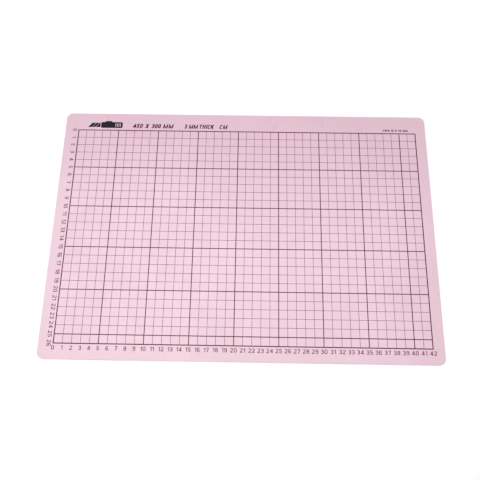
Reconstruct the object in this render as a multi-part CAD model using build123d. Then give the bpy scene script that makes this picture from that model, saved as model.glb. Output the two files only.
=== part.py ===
from build123d import *
import math
import os

# Self healing cutting mat, A3 size: three bonded vinyl plies and the ink printed on the top one.
# Millimetres. The origin is the centre of the underside, +X runs along the long side,
# +Y towards the header and +Z up out of the printed face. One STEP file is written per piece.

os.makedirs("parts", exist_ok=True)

# Sheet
MAT_LENGTH = 450.0
MAT_WIDTH = 300.0
CORNER_RADIUS = 7.5
SKIN_THICKNESS = 1.1  # each soft outer ply
CORE_THICKNESS = 0.8  # the hard middle ply
EDGE_ROUND = 0.25  # where the cutting die eases the outer edges
MAT_THICKNESS = 2 * SKIN_THICKNESS + CORE_THICKNESS

# Grid
PITCH = 10.0
COLUMNS = 42
ROWS = 26
MAJOR_EVERY = 5
LEFT_MARGIN = 17.0  # from the edge of the mat to the middle of the border line
TOP_MARGIN = 23.0
BORDER_LINE = 1.15
MAJOR_LINE = 1.0
FINE_LINE = 0.45
INK_HEIGHT = 0.03

GRID_LEFT = -MAT_LENGTH / 2 + LEFT_MARGIN
GRID_RIGHT = GRID_LEFT + COLUMNS * PITCH
GRID_TOP = MAT_WIDTH / 2 - TOP_MARGIN
GRID_BOTTOM = GRID_TOP - ROWS * PITCH

# Scale numerals
NUMERAL_HEIGHT = 4.7
NUMERAL_STEM = 0.66
NUMERAL_EXPANSION = 1.13  # width against the plain alphabet
NUMERAL_TRACKING = 0.8
BOTTOM_NUMERAL_GAP = 2.4  # from the border line to the tops of the numerals
LEFT_NUMERAL_GAP = 2.5

# Header lettering: height, stem, and baseline height above the border
HEADER_HEIGHT = 5.7
HEADER_STEM = 1.32
HEADER_BASELINE = 3.5
ITALIC_SLOPE = math.tan(math.radians(12))

# Small upright note at the right-hand end of the header
NOTE_HEIGHT = 2.6
NOTE_STEM = 0.65
NOTE_EXPANSION = 1.13
NOTE_BASELINE = 2.9

# Header pieces: start measured from the left border, width filled, and letter width
# against the plain alphabet
TITLE_START = 67.0
TITLE_SPAN = 51.6
TITLE_EXPANSION = 1.01
THICKNESS_START = 132.0
THICKNESS_SPAN = 37.4
THICKNESS_EXPANSION = 0.90
UNIT_START = 176.0
UNIT_SPAN = 10.4
UNIT_EXPANSION = 0.92
NOTE_START = 380.2
NOTE_SPAN = 31.0

# Knife pictogram
MARK_START = 11.0
MARK_BASE = 3.2
HANDLE_LENGTH = 27.2
HANDLE_HEIGHT = 8.0
SLIDER_HEIGHT = 1.4
BLADE_LENGTH = 15.4
BLADE_HEIGHT = 6.0
MARK_GAP = 0.7  # bare strip between blade and handle


# ---- flat shapes ----


def bar(x0, y0, x1, y1):
    """Upright rectangle between two corners."""
    middle = ((x0 + x1) / 2, (y0 + y1) / 2)
    return Pos(*middle) * Rectangle(x1 - x0, y1 - y0)


def patch(*points):
    """Filled polygon through the points."""
    return make_face(Polyline(*points, close=True))


def slant(x0, y0, x1, y1, thickness):
    """Sloping stroke cut off level at both ends; the points are its left-hand corners."""
    return patch((x0, y0), (x0 + thickness, y0), (x1 + thickness, y1), (x1, y1))


def bow(x, y, radius, stem, start, end):
    """Curved stroke: the part of a ring between two angles, by outer radius and stem width."""
    outer = CenterArc((x, y), radius, start, end - start)
    inner = CenterArc((x, y), radius - stem, start, end - start)
    return make_face([outer, Line(outer @ 1, inner @ 1), inner, Line(inner @ 0, outer @ 0)])


def ring(x, y, radius, stem):
    """Closed round stroke."""
    return Pos(x, y) * (Circle(radius) - Circle(radius - stem))


# ---- numerals and letters: h is the height and s the stem width ----


def zero(h, s):
    r = 0.295 * h
    return (
        bow(r, h - r, r, s, 0, 180)
        + bow(r, r, r, s, 180, 360)
        + bar(0, r, s, h - r)
        + bar(2 * r - s, r, 2 * r, h - r)
    )


def one(h, s):
    x = 0.42 * h
    flag = patch((0.08 * h, 0.84 * h - s), (x, h - 1.1 * s), (x, h), (0.08 * h, 0.84 * h))
    return bar(x - s, 0, x, h) + flag


def two(h, s):
    r = 0.295 * h
    turn = math.radians(-41)
    away = (math.cos(turn), math.sin(turn))
    outer = (r + r * away[0], h - r + r * away[1])
    inner = (r + (r - s) * away[0], h - r + (r - s) * away[1])
    drop_outer = outer[1] / away[0]
    drop_inner = inner[1] / away[0]
    foot_outer = (outer[0] + drop_outer * away[1], 0)
    foot_inner = (inner[0] + drop_inner * away[1], 0)
    leg = patch(outer, foot_outer, foot_inner, inner) & bar(0, 0, 2 * r, h)
    return bow(r, h - r, r, s, -41, 165) + leg + bar(0, 0, 2 * r, s)


def three(h, s):
    low = 0.295 * h
    high = (h + s) / 2 - low
    return (
        bow(low, h - high, high, s, -90, 165)
        + bow(low, low, low, s, -165, 90)
        + bar(0.6 * low, 2 * low - s, low, 2 * low)
    )


def four(h, s):
    foot = 0.2 * h
    stem = 0.4 * h + s
    reach = stem + 0.14 * h
    brace = 1.1 * s
    arm = slant(0, foot, stem - brace, h, brace)
    return bar(stem - s, 0, stem, h) + bar(0, foot, reach, foot + s) + arm


def five(h, s):
    r = 0.31 * h
    left = 0.05 * h
    top = bar(left, h - s, 0.56 * h, h)
    return top + bar(left, 0.44 * h, left + s, h) + bow(0.28 * h, r, r, s, -160, 132)


def six(h, s):
    r = 0.295 * h
    return ring(r, r, r, s) + bar(0, r, s, h - r) + bow(r, h - r, r, s, 20, 180)


def seven(h, s):
    width = 0.59 * h
    return bar(0, h - s, width, h) + slant(0.16 * h, 0, width - 1.1 * s, h, 1.1 * s)


def eight(h, s):
    low = 0.295 * h
    high = (h + s) / 2 - low
    return ring(low, low, low, s) + ring(low, h - high, high, s)


def nine(h, s):
    r = 0.295 * h
    return ring(r, h - r, r, s) + bar(2 * r - s, r, 2 * r, h - r) + bow(r, r, r, s, -160, 0)


def letter_c(h, s):
    r = 0.34 * h
    return (
        bow(r, h - r, r, s, 30, 180)
        + bow(r, r, r, s, 180, 330)
        + bar(0, r, s, h - r)
    )


def letter_d(h, s):
    r = 0.34 * h
    width = 0.68 * h
    return (
        bar(0, 0, s, h)
        + bar(0, 0, width - r, s)
        + bar(0, h - s, width - r, h)
        + bow(width - r, r, r, s, -90, 0)
        + bow(width - r, h - r, r, s, 0, 90)
        + bar(width - s, r, width, h - r)
    )


def letter_g(h, s):
    r = 0.34 * h
    shelf = 0.5 * h
    return (
        bow(r, h - r, r, s, 30, 180)
        + bow(r, r, r, s, 180, 360)
        + bar(0, r, s, h - r)
        + bar(2 * r - s, r, 2 * r, shelf)
        + bar(r, shelf - s, 2 * r, shelf)
    )


def letter_h(h, s):
    width = 0.68 * h
    middle = h / 2
    cross = bar(0, middle - s / 2, width, middle + s / 2)
    return bar(0, 0, s, h) + bar(width - s, 0, width, h) + cross


def letter_i(h, s):
    return bar(0, 0, s, h)


def letter_k(h, s):
    width = 0.72 * h
    thickness = 1.35 * s
    upper = slant(0.5 * s, 0.34 * h, width - thickness, h, thickness)
    lower = slant(width - thickness, 0, 0.22 * h, 0.6 * h, thickness)
    return bar(0, 0, s, h) + upper + lower


def letter_m(h, s):
    width = 0.5 * h + 2 * s
    brace = 0.8 * s
    foot = (width - brace) / 2
    left = slant(foot, 0, 0, h, brace)
    right = slant(foot, 0, width - brace, h, brace)
    return bar(0, 0, s, h) + bar(width - s, 0, width, h) + left + right


def letter_r(h, s):
    r = 0.29 * h
    width = 0.68 * h
    waist = h - 2 * r
    return (
        bar(0, 0, s, h)
        + bar(0, h - s, width - r, h)
        + bar(0, waist, width - r, waist + s)
        + bow(width - r, h - r, r, s, -90, 90)
        + slant(width - 1.2 * s, 0, 0.26 * h, waist + 0.5 * s, 1.2 * s)
    )


def letter_t(h, s):
    width = 0.68 * h
    return bar(0, h - s, width, h) + bar((width - s) / 2, 0, (width + s) / 2, h)


def letter_x(h, s):
    width = 0.5 * h + 1.4 * s
    thickness = 1.25 * s
    reach = width - thickness
    return slant(0, 0, reach, h, thickness) + slant(reach, 0, 0, h, thickness)


GLYPHS = {
    "0": zero,
    "1": one,
    "2": two,
    "3": three,
    "4": four,
    "5": five,
    "6": six,
    "7": seven,
    "8": eight,
    "9": nine,
    "C": letter_c,
    "D": letter_d,
    "G": letter_g,
    "H": letter_h,
    "I": letter_i,
    "K": letter_k,
    "M": letter_m,
    "R": letter_r,
    "T": letter_t,
    "X": letter_x,
}


def stretched(flat, expansion, slope):
    """The same flat shape widened, and leaning by the slope."""
    across = [expansion, slope, 0, 0]
    lean = Matrix([across, [0, 1, 0, 0], [0, 0, 1, 0], [0, 0, 0, 1]])
    face = flat.faces()[0]
    rims = [wire.transform_geometry(lean) for wire in [face.outer_wire(), *face.inner_wires()]]
    return Face(rims[0], rims[1:])


# ---- ink ----


def ink(flat):
    """Ink of the printed thickness standing on the top of the mat."""
    return Pos(0, 0, MAT_THICKNESS) * extrude(flat, INK_HEIGHT)


def numeral_solids():
    """One ink solid per digit, with its lower left corner over the origin, and its width."""
    solids = {}
    for digit in "0123456789":
        flat = stretched(GLYPHS[digit](NUMERAL_HEIGHT, NUMERAL_STEM), NUMERAL_EXPANSION, 0)
        box = flat.bounding_box()
        solids[digit] = (Pos(-box.min.X, 0, 0) * ink(flat), box.size.X)
    return solids


def scale_number(number, digits):
    """Digits of a scale number side by side, centred over the origin, standing on it."""
    widths = [digits[digit][1] for digit in str(number)]
    cursor = -(sum(widths) + NUMERAL_TRACKING * (len(widths) - 1)) / 2
    placed = []
    for digit in str(number):
        solid, width = digits[digit]
        placed.append(Pos(cursor, 0, 0) * solid)
        cursor += width + NUMERAL_TRACKING
    return placed


def glyph_faces(text, height, stem, expansion, slope):
    """One flat shape for each character, or None for a space."""
    faces = []
    for mark in text:
        if mark == " ":
            faces.append(None)
        else:
            faces.append(stretched(GLYPHS[mark](height, stem), expansion, slope))
    return faces


def line_of_text(faces, start, span, word_space, baseline):
    """Ink characters spread evenly over a span measured from the left border."""
    widths = [face.bounding_box().size.X if face else word_space for face in faces]
    gap = (span - sum(widths)) / (len(faces) - 1)
    cursor = GRID_LEFT + start
    solids = []
    for face, width in zip(faces, widths):
        if face:
            shift = cursor - face.bounding_box().min.X
            solids.append(Pos(shift, GRID_TOP + baseline, 0) * ink(face))
        cursor += width + gap
    return Compound(solids)


def header_text(text, start, span, expansion):
    """Bold italic capitals of the header."""
    faces = glyph_faces(text, HEADER_HEIGHT, HEADER_STEM, expansion, ITALIC_SLOPE)
    return line_of_text(faces, start, span, 0.4 * HEADER_HEIGHT, HEADER_BASELINE)


def note_text(text, start, span):
    """Small bold upright capitals."""
    faces = glyph_faces(text, NOTE_HEIGHT, NOTE_STEM, NOTE_EXPANSION, 0)
    return line_of_text(faces, start, span, 0.25 * NOTE_HEIGHT, NOTE_BASELINE)


# ---- pieces ----


def sheet(bottom, thickness):
    """One ply with the rounded outline of the mat."""
    outline = RectangleRounded(MAT_LENGTH, MAT_WIDTH, CORNER_RADIUS)
    return Pos(0, 0, bottom) * extrude(outline, thickness)


def bottom_sheet():
    ply = sheet(0, SKIN_THICKNESS)
    return fillet(ply.faces().sort_by(Axis.Z)[0].edges(), EDGE_ROUND)


def hard_core():
    return sheet(SKIN_THICKNESS, CORE_THICKNESS)


def top_sheet():
    ply = sheet(SKIN_THICKNESS + CORE_THICKNESS, SKIN_THICKNESS)
    return fillet(ply.faces().sort_by(Axis.Z)[-1].edges(), EDGE_ROUND)


def column_x(column):
    return GRID_LEFT + column * PITCH


def row_y(row):
    return GRID_TOP - row * PITCH


def half_line(index, last):
    """Half the width of the heavy line at a column or row."""
    return BORDER_LINE / 2 if index in (0, last) else MAJOR_LINE / 2


def border_print():
    half = BORDER_LINE / 2
    outside = bar(GRID_LEFT - half, GRID_BOTTOM - half, GRID_RIGHT + half, GRID_TOP + half)
    inside = bar(GRID_LEFT + half, GRID_BOTTOM + half, GRID_RIGHT - half, GRID_TOP - half)
    return ink(outside - inside)


def major_grid_print():
    """Heavy lines every fifth centimetre, ending against the border."""
    inset = BORDER_LINE / 2
    half = MAJOR_LINE / 2
    flat = Sketch()
    for column in range(MAJOR_EVERY, COLUMNS, MAJOR_EVERY):
        x = column_x(column)
        flat += bar(x - half, GRID_BOTTOM + inset, x + half, GRID_TOP - inset)
    for row in range(MAJOR_EVERY, ROWS, MAJOR_EVERY):
        y = row_y(row)
        flat += bar(GRID_LEFT + inset, y - half, GRID_RIGHT - inset, y + half)
    return ink(flat)


def fine_block(first_column, last_column, first_row, last_row):
    """Fine lines inside one block of heavy lines, ending against them."""
    left = column_x(first_column) + half_line(first_column, COLUMNS)
    right = column_x(last_column) - half_line(last_column, COLUMNS)
    top = row_y(first_row) - half_line(first_row, ROWS)
    bottom = row_y(last_row) + half_line(last_row, ROWS)
    half = FINE_LINE / 2
    flat = Sketch()
    for column in range(first_column + 1, last_column):
        flat += bar(column_x(column) - half, bottom, column_x(column) + half, top)
    for row in range(first_row + 1, last_row):
        flat += bar(left, row_y(row) - half, right, row_y(row) + half)
    return ink(flat).solids()


def fine_grid_print():
    blocks = []
    for column in range(0, COLUMNS, MAJOR_EVERY):
        for row in range(0, ROWS, MAJOR_EVERY):
            last_column = min(column + MAJOR_EVERY, COLUMNS)
            last_row = min(row + MAJOR_EVERY, ROWS)
            blocks += fine_block(column, last_column, row, last_row)
    return Compound(blocks)


def bottom_scale_print(digits):
    baseline = GRID_BOTTOM - BOTTOM_NUMERAL_GAP - NUMERAL_HEIGHT
    solids = []
    for column in range(COLUMNS + 1):
        place = Pos(column_x(column), baseline, 0)
        solids += [place * solid for solid in scale_number(column, digits)]
    return Compound(solids)


def left_scale_print(digits):
    """Numbers up the left side, turned to read downwards with their tops to the grid."""
    baseline = GRID_LEFT - LEFT_NUMERAL_GAP - NUMERAL_HEIGHT
    solids = []
    for row in range(ROWS + 1):
        place = Pos(baseline, row_y(row), 0) * Rot(0, 0, -90)
        solids += [place * solid for solid in scale_number(row, digits)]
    return Compound(solids)


def knife_mark_print():
    """Pictogram of a snap-off knife lying level."""
    handle_left = BLADE_LENGTH + MARK_GAP
    middle = (handle_left + HANDLE_LENGTH / 2, HANDLE_HEIGHT / 2)
    handle = Pos(*middle) * RectangleRounded(HANDLE_LENGTH, HANDLE_HEIGHT, 1.9)
    for grip in range(4):
        x = handle_left + 0.68 * HANDLE_LENGTH + 2.0 * grip
        handle -= Pos(x, HANDLE_HEIGHT / 2) * RectangleRounded(0.75, 0.6 * HANDLE_HEIGHT, 0.3)
    slider_left = handle_left + 0.18 * HANDLE_LENGTH
    slider_right = handle_left + 0.52 * HANDLE_LENGTH
    slider_top = HANDLE_HEIGHT + SLIDER_HEIGHT
    slider = patch(
        (slider_left, HANDLE_HEIGHT - 0.1),
        (slider_right, HANDLE_HEIGHT - 0.1),
        (slider_right - 0.9, slider_top),
        (slider_left + 0.9, slider_top),
    )
    spine = (HANDLE_HEIGHT + BLADE_HEIGHT) / 2
    edge = spine - BLADE_HEIGHT
    rake = 0.9 * BLADE_HEIGHT
    blade = patch((0, edge), (BLADE_LENGTH, edge), (BLADE_LENGTH, spine), (rake, spine))
    for snap in (0.29, 0.58):
        blade -= slant(snap * BLADE_LENGTH, edge, snap * BLADE_LENGTH + rake, spine, 0.5)
    place = Pos(GRID_LEFT + MARK_START, GRID_TOP + MARK_BASE)
    solids = []
    for flat in (handle + slider, blade):
        solids += ink(place * flat).solids()
    return Compound(solids)


def main():
    digits = numeral_solids()
    pieces = {
        "bottom_sheet": bottom_sheet(),
        "hard_core": hard_core(),
        "top_sheet": top_sheet(),
        "border_print": border_print(),
        "major_grid_print": major_grid_print(),
        "fine_grid_print": fine_grid_print(),
        "bottom_scale_print": bottom_scale_print(digits),
        "left_scale_print": left_scale_print(digits),
        "knife_mark_print": knife_mark_print(),
        "title_print": header_text("450 X 300 MM", TITLE_START, TITLE_SPAN, TITLE_EXPANSION),
        "thickness_print": header_text(
            "3 MM THICK", THICKNESS_START, THICKNESS_SPAN, THICKNESS_EXPANSION
        ),
        "unit_print": header_text("CM", UNIT_START, UNIT_SPAN, UNIT_EXPANSION),
        "note_print": note_text("GRID 10 X 10 MM", NOTE_START, NOTE_SPAN),
    }
    for name, piece in pieces.items():
        export_step(piece, f"parts/{name}.step")


main()
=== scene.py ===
import math

import bpy
from mathutils import Matrix, Vector


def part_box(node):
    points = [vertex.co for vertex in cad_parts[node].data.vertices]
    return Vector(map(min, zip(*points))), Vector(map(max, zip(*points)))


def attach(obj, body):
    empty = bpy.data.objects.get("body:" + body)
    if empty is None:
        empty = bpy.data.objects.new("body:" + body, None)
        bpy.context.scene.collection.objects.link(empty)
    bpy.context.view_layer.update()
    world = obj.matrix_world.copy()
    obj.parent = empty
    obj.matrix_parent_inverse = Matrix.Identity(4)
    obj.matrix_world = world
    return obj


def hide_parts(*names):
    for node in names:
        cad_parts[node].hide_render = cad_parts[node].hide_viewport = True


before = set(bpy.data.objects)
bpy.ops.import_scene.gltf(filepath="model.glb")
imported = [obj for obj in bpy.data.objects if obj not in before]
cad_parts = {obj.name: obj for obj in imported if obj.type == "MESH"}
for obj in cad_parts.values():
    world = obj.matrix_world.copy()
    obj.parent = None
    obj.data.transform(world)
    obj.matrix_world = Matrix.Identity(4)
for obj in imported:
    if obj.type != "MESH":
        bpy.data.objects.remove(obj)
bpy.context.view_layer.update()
MM = 0.001

# Plies: soft rounding where the die pressed the outer edges, a hair of it at the bond lines
EDGE_ROUND = 0.25 * MM
BOND_ROUND = 0.05 * MM
CORE_INSET = 0.04 * MM
CORNER_RADIUS = 7.5 * MM
CORNER_STEPS = 20
ROUND_STEPS = 5

# Flat lip beside the roundings, in radii of the wider one; the rubbed look fades out across it
LIP_RADII = 3

# Camera
TARGET = Vector((6.1, -12.2, 3.0)) * MM
AZIMUTH = math.radians(1.73)
ELEVATION = math.radians(76.03)
ROLL = math.radians(-0.85)
DISTANCE = 505.4 * MM
SENSOR = 36.0
LENS = 32.33
SHIFT_X = -1 / 60
NEAR_CLIP = 0.01

# Studio: brightness round the horizon and overhead, and the heights between which it fades, as
# parts of the way from level to straight up
WALLS = 0.95
CEILING = 0.15
WALL_TOP = 0.05
CEILING_EDGE = 0.45

# Pale table top
FLOOR_RADIUS = 1.1
FLOOR_STEPS = 96
FLOOR_DARK = (0.93, 0.93, 0.93)
FLOOR_LIGHT = (0.95, 0.95, 0.95)
FLOOR_ROUGHNESS = 0.9

# Softboxes, facing straight down: name, place, width, depth and power in watts
SOFTBOXES = (
    ("left_softbox", (-0.98, 0.10, 2.5), 1.67, 2.15, 48.5),
    ("right_softbox", (0.58, 0.30, 2.5), 1.59, 1.68, 30.5),
)

# Surfaces: size of the pebbled grain, depth of the relief, roughness and refraction
TOP_GRAIN = 0.55 * MM
BACK_GRAIN = 0.8 * MM
VINYL_RELIEF = 0.02 * MM
INK_RELIEF = 0.006 * MM
TOP_ROUGHNESS = 0.30
BACK_ROUGHNESS = 0.5
VINYL_UNEVENNESS = 0.05
CORE_ROUGHNESS = (0.42, 0.6)
INK_ROUGHNESS = (0.36, 0.48)
VINYL_IOR = 1.58
INK_IOR = 1.25

# Sizes of the patterns: flecks in the vinyl, marks down the cut core, and spots in the ink
FLECK = 0.9 * MM
DRAG_MARK = 0.7 * MM
MOTTLE = 2.2 * MM
PINHOLE = 0.4 * MM
INK_GRAIN = 0.35 * MM

# Broad patterns, in features to the metre
CLOUDS = 9.0
RUBBED_PATCHES = 120.0
GLOSS_PATCHES = 45.0
FLOOR_CLOUDS = 3.0

# Colours, linear; the finer the line, the thinner its ink and the more vinyl shows through
PINK = (0.678, 0.460, 0.543)
PALE_PINK = (0.78, 0.60, 0.67)
BACK_PINK = (0.68, 0.46, 0.545)
LETTERING_INK = (0.060, 0.004, 0.026)
BORDER_INK = (0.095, 0.004, 0.028)
MAJOR_LINE_INK = (0.098, 0.004, 0.030)
FINE_LINE_INK = (0.170, 0.010, 0.055)
MARK_INK = (0.009, 0.003, 0.014)


# ---- plies ----


def rounded_outline(half_x, half_y, radius):
    """Points round a rectangle with round corners, anticlockwise."""
    points = []
    corners = ((1, 1, 0), (-1, 1, 90), (-1, -1, 180), (1, -1, 270))
    for side_x, side_y, start in corners:
        centre_x = side_x * (half_x - radius)
        centre_y = side_y * (half_y - radius)
        for step in range(CORNER_STEPS + 1):
            angle = math.radians(start + 90 * step / CORNER_STEPS)
            x = centre_x + radius * math.cos(angle)
            y = centre_y + radius * math.sin(angle)
            points.append((x, y))
    return points


def quarter_round(radius, height, rising):
    """Inset and height of each ring round an eased edge, upwards."""
    rings = []
    for step in range(ROUND_STEPS + 1):
        angle = math.radians(90 * step / ROUND_STEPS)
        if rising:
            rings.append((radius * (1 - math.cos(angle)), height - radius * (1 - math.sin(angle))))
        else:
            rings.append((radius * (1 - math.sin(angle)), height + radius * (1 - math.cos(angle))))
    return rings


def ply(name, node, lower_round, upper_round, inset=0.0):
    """One sheet of the mat, built ring by ring between the heights of its CAD node."""
    low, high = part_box(node)
    profile = quarter_round(lower_round, low.z, False) + quarter_round(upper_round, high.z, True)
    widest_round = max(lower_round, upper_round)
    lip = widest_round * LIP_RADII
    rings = [(lower_round + lip, low.z), *profile, (upper_round + lip, high.z)]
    vertices = []
    wear = []
    for ring_inset, z in rings:
        shrink = inset + ring_inset
        outline = rounded_outline(high.x - shrink, high.y - shrink, CORNER_RADIUS - shrink)
        vertices += [(x, y, z) for x, y in outline]
        is_lip = ring_inset > widest_round
        wear += [0.0 if is_lip else 1.0] * len(outline)
    count = len(vertices) // len(rings)
    faces = [tuple(reversed(range(count)))]
    for ring in range(len(rings) - 1):
        base = ring * count
        for k in range(count):
            after = (k + 1) % count
            faces.append((base + k, base + after, base + count + after, base + count + k))
    faces.append(tuple(range(len(vertices) - count, len(vertices))))
    mesh = bpy.data.meshes.new(name)
    mesh.from_pydata(vertices, [], faces)
    mesh.shade_smooth()
    attribute = mesh.attributes.new("wear", "FLOAT", "POINT")
    attribute.data.foreach_set("value", wear)
    piece = bpy.data.objects.new(name, mesh)
    bpy.context.scene.collection.objects.link(piece)
    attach(piece, "root")
    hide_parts(node)
    return piece


# ---- materials ----


class Nodes:
    """Short calls for building one material's nodes."""

    def __init__(self, name):
        self.material = bpy.data.materials.new(name)
        self.material.use_nodes = True
        self.tree = self.material.node_tree
        self.shader = self.tree.nodes["Principled BSDF"]
        self.place = self.add("ShaderNodeTexCoord").outputs["Object"]

    def add(self, kind, **settings):
        node = self.tree.nodes.new(kind)
        for key, value in settings.items():
            setattr(node, key, value)
        return node

    def link(self, output, socket):
        self.tree.links.new(output, socket)

    def noise(self, scale, detail=2.0, roughness=0.5):
        """Noise between 0 and 1, with this many features to the metre."""
        node = self.add("ShaderNodeTexNoise")
        node.inputs["Scale"].default_value = scale
        node.inputs["Detail"].default_value = detail
        node.inputs["Roughness"].default_value = roughness
        self.link(self.place, node.inputs["Vector"])
        return node.outputs["Fac"]

    def grains(self, scale):
        """Distance to the nearest of a field of random points: a pebbled grain."""
        node = self.add("ShaderNodeTexVoronoi")
        node.inputs["Scale"].default_value = scale
        self.link(self.place, node.inputs["Vector"])
        return node.outputs["Distance"]

    def spread(self, value, low, high, out_low, out_high):
        """Value remapped from one range to another, clamped."""
        node = self.add("ShaderNodeMapRange")
        self.link(value, node.inputs["Value"])
        node.inputs["From Min"].default_value = low
        node.inputs["From Max"].default_value = high
        node.inputs["To Min"].default_value = out_low
        node.inputs["To Max"].default_value = out_high
        return node.outputs["Result"]

    def maths(self, operation, first, second):
        """Result of an operation on two values, each a number or an output."""
        node = self.add("ShaderNodeMath", operation=operation)
        for socket, value in zip(node.inputs, (first, second)):
            if isinstance(value, float):
                socket.default_value = value
            else:
                self.link(value, socket)
        return node.outputs["Value"]

    def mix(self, amount, first, second):
        """Colour between two colours, each a tuple or an output."""
        node = self.add("ShaderNodeMix", data_type="RGBA")
        self.link(amount, node.inputs["Factor"])
        # Inputs 6 and 7 and output 2 are the colour sockets of the node
        for socket, value in ((node.inputs[6], first), (node.inputs[7], second)):
            if isinstance(value, tuple):
                socket.default_value = (*value, 1.0)
            else:
                self.link(value, socket)
        return node.outputs[2]

    def bump(self, height, distance, strength):
        """Relief that follows the height pattern, the distance deep where it goes from 0 to 1."""
        node = self.add("ShaderNodeBump")
        node.inputs["Strength"].default_value = strength
        node.inputs["Distance"].default_value = distance
        self.link(height, node.inputs["Height"])
        self.link(node.outputs["Normal"], self.shader.inputs["Normal"])


def shade(colour, factor):
    """Colour made lighter or darker."""
    return tuple(min(channel * factor, 1.0) for channel in colour)


def vinyl(name, colour, grain, roughness):
    """Matte vinyl with clouds, fine flecks, a pebbled grain and paler rubbed edges."""
    n = Nodes(name)
    clouds = n.spread(n.noise(CLOUDS, 3.0), 0.35, 0.65, 0.0, 1.0)
    tinted = n.mix(clouds, shade(colour, 0.975), shade(colour, 1.02))
    flecks = n.spread(n.noise(1.0 / FLECK, 3.0, 0.7), 0.62, 0.72, 0.0, 0.35)
    flecked = n.mix(flecks, tinted, shade(colour, 0.90))
    rub = n.add("ShaderNodeAttribute", attribute_name="wear").outputs["Fac"]
    patchy = n.spread(n.noise(RUBBED_PATCHES, 4.0, 0.6), 0.35, 0.7, 0.1, 0.6)
    worn = n.mix(n.maths("MULTIPLY", rub, patchy), flecked, shade(colour, 1.25))
    n.link(worn, n.shader.inputs["Base Color"])
    smoothest = roughness - VINYL_UNEVENNESS
    roughest = roughness + VINYL_UNEVENNESS
    gloss = n.spread(n.noise(GLOSS_PATCHES, 4.0, 0.6), 0.3, 0.7, smoothest, roughest)
    n.link(gloss, n.shader.inputs["Roughness"])
    n.shader.inputs["IOR"].default_value = VINYL_IOR
    pebbles = n.grains(1.0 / grain)
    pores = n.noise(2.5 / grain, 3.0, 0.6)
    n.bump(n.maths("ADD", pebbles, n.maths("MULTIPLY", pores, 0.5)), VINYL_RELIEF, 0.6)
    return n.material


def core_vinyl(name, colour):
    """Hard vinyl where the die sheared it: drag marks down the cut edge."""
    n = Nodes(name)
    stretch = n.add("ShaderNodeMapping")
    stretch.inputs["Scale"].default_value = (1.0, 1.0, 0.08)
    n.link(n.place, stretch.inputs["Vector"])
    n.place = stretch.outputs["Vector"]
    drag = n.noise(1.0 / DRAG_MARK, 4.0, 0.65)
    n.link(n.mix(drag, shade(colour, 0.94), shade(colour, 1.04)), n.shader.inputs["Base Color"])
    n.link(n.spread(drag, 0.3, 0.7, *CORE_ROUGHNESS), n.shader.inputs["Roughness"])
    n.bump(drag, VINYL_RELIEF, 0.7)
    return n.material


def ink(name, colour):
    """Screen-printed ink: a little thinner in places, with pinholes and a fine grain."""
    n = Nodes(name)
    mottle = n.spread(n.noise(1.0 / MOTTLE, 4.0, 0.65), 0.35, 0.75, 0.0, 1.0)
    laid = n.mix(mottle, colour, shade(colour, 1.3))
    pinholes = n.spread(n.noise(1.0 / PINHOLE, 2.0, 0.6), 0.70, 0.76, 0.0, 0.3)
    n.link(n.mix(pinholes, laid, shade(PINK, 0.5)), n.shader.inputs["Base Color"])
    n.link(n.spread(mottle, 0.0, 1.0, *INK_ROUGHNESS), n.shader.inputs["Roughness"])
    n.shader.inputs["IOR"].default_value = INK_IOR
    n.bump(n.noise(1.0 / INK_GRAIN, 3.0, 0.6), INK_RELIEF, 0.6)
    return n.material


# ---- the mat ----

top = ply("top_vinyl_ply", "top_sheet", BOND_ROUND, EDGE_ROUND)
core = ply("core_vinyl_ply", "hard_core", BOND_ROUND, BOND_ROUND, CORE_INSET)
back = ply("back_vinyl_ply", "bottom_sheet", EDGE_ROUND, BOND_ROUND)
top.data.materials.append(vinyl("top_vinyl", PINK, TOP_GRAIN, TOP_ROUGHNESS))
core.data.materials.append(core_vinyl("core_vinyl", PALE_PINK))
back.data.materials.append(vinyl("back_vinyl", BACK_PINK, BACK_GRAIN, BACK_ROUGHNESS))

PRINTS = (
    ("lettering_ink", LETTERING_INK, ("title_print", "thickness_print", "unit_print", "note_print")),
    ("border_ink", BORDER_INK, ("border_print", "bottom_scale_print", "left_scale_print")),
    ("major_line_ink", MAJOR_LINE_INK, ("major_grid_print",)),
    ("fine_line_ink", FINE_LINE_INK, ("fine_grid_print",)),
    ("mark_ink", MARK_INK, ("knife_mark_print",)),
)
for ink_name, ink_colour, print_names in PRINTS:
    printed = ink(ink_name, ink_colour)
    for print_name in print_names:
        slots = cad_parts[print_name].data.materials
        slots.clear()
        slots.append(printed)


# ---- floor, light and camera ----


def floor_material():
    n = Nodes("studio_floor")
    n.link(n.mix(n.noise(FLOOR_CLOUDS), FLOOR_DARK, FLOOR_LIGHT), n.shader.inputs["Base Color"])
    n.shader.inputs["Roughness"].default_value = FLOOR_ROUGHNESS
    return n.material


def floor():
    """A round table top, wide enough to fill the picture from above."""
    rim = []
    for step in range(FLOOR_STEPS):
        angle = math.radians(360 * step / FLOOR_STEPS)
        rim.append((FLOOR_RADIUS * math.cos(angle), FLOOR_RADIUS * math.sin(angle), 0))
    mesh = bpy.data.meshes.new("floor")
    mesh.from_pydata(rim, [], [tuple(range(len(rim)))])
    mesh.materials.append(floor_material())
    piece = bpy.data.objects.new("floor", mesh)
    bpy.context.scene.collection.objects.link(piece)


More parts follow.
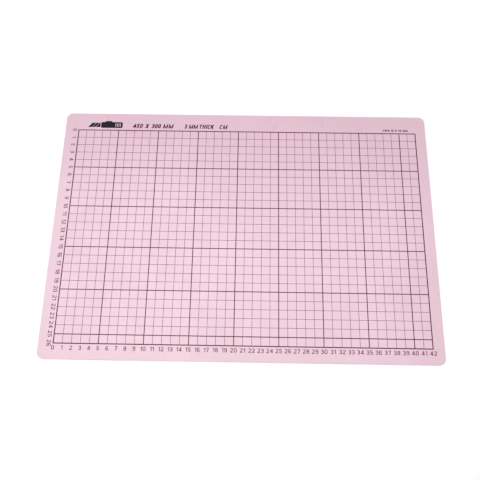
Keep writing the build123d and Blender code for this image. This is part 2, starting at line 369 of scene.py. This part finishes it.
def softbox(name, place, width, depth, power):
    """A flat rectangular light facing straight down."""
    light = bpy.data.lights.new(name, "AREA")
    light.shape = "RECTANGLE"
    light.size = width
    light.size_y = depth
    light.energy = power
    lamp = bpy.data.objects.new(name, light)
    lamp.location = place
    bpy.context.scene.collection.objects.link(lamp)


def camera():
    """Camera aimed at the target from an azimuth and elevation, then rolled about its view line."""
    level = math.cos(ELEVATION)
    out = Vector((math.sin(AZIMUTH) * level, -math.cos(AZIMUTH) * level, math.sin(ELEVATION)))
    right = Vector((0, 0, 1)).cross(out).normalized()
    up = out.cross(right)
    rolled_right = math.cos(ROLL) * right + math.sin(ROLL) * up
    rolled_up = math.cos(ROLL) * up - math.sin(ROLL) * right
    data = bpy.data.cameras.new("camera")
    data.sensor_width = SENSOR
    data.lens = LENS
    data.shift_x = SHIFT_X
    data.clip_start = NEAR_CLIP
    cam = bpy.data.objects.new("camera", data)
    turn = Matrix((rolled_right, rolled_up, out)).transposed().to_4x4()
    cam.matrix_world = Matrix.Translation(TARGET + out * DISTANCE) @ turn
    bpy.context.scene.collection.objects.link(cam)
    bpy.context.scene.camera = cam


def surroundings():
    """Pale walls round the horizon under a dimmer ceiling."""
    world = bpy.data.worlds.new("studio")
    world.use_nodes = True
    tree = world.node_tree
    place = tree.nodes.new("ShaderNodeTexCoord")
    split = tree.nodes.new("ShaderNodeSeparateXYZ")
    fade = tree.nodes.new("ShaderNodeMapRange")
    fade.inputs["From Min"].default_value = WALL_TOP
    fade.inputs["From Max"].default_value = CEILING_EDGE
    fade.inputs["To Min"].default_value = WALLS
    fade.inputs["To Max"].default_value = CEILING
    tree.links.new(place.outputs["Generated"], split.inputs[0])
    tree.links.new(split.outputs["Z"], fade.inputs["Value"])
    tree.links.new(fade.outputs["Result"], tree.nodes["Background"].inputs["Strength"])
    tree.nodes["Background"].inputs["Color"].default_value = (1.0, 1.0, 1.0, 1.0)
    bpy.context.scene.world = world


floor()
surroundings()
for softbox_name, place, width, depth, power in SOFTBOXES:
    softbox(softbox_name, place, width, depth, power)
camera()
bpy.context.scene.view_settings.view_transform = "Standard"
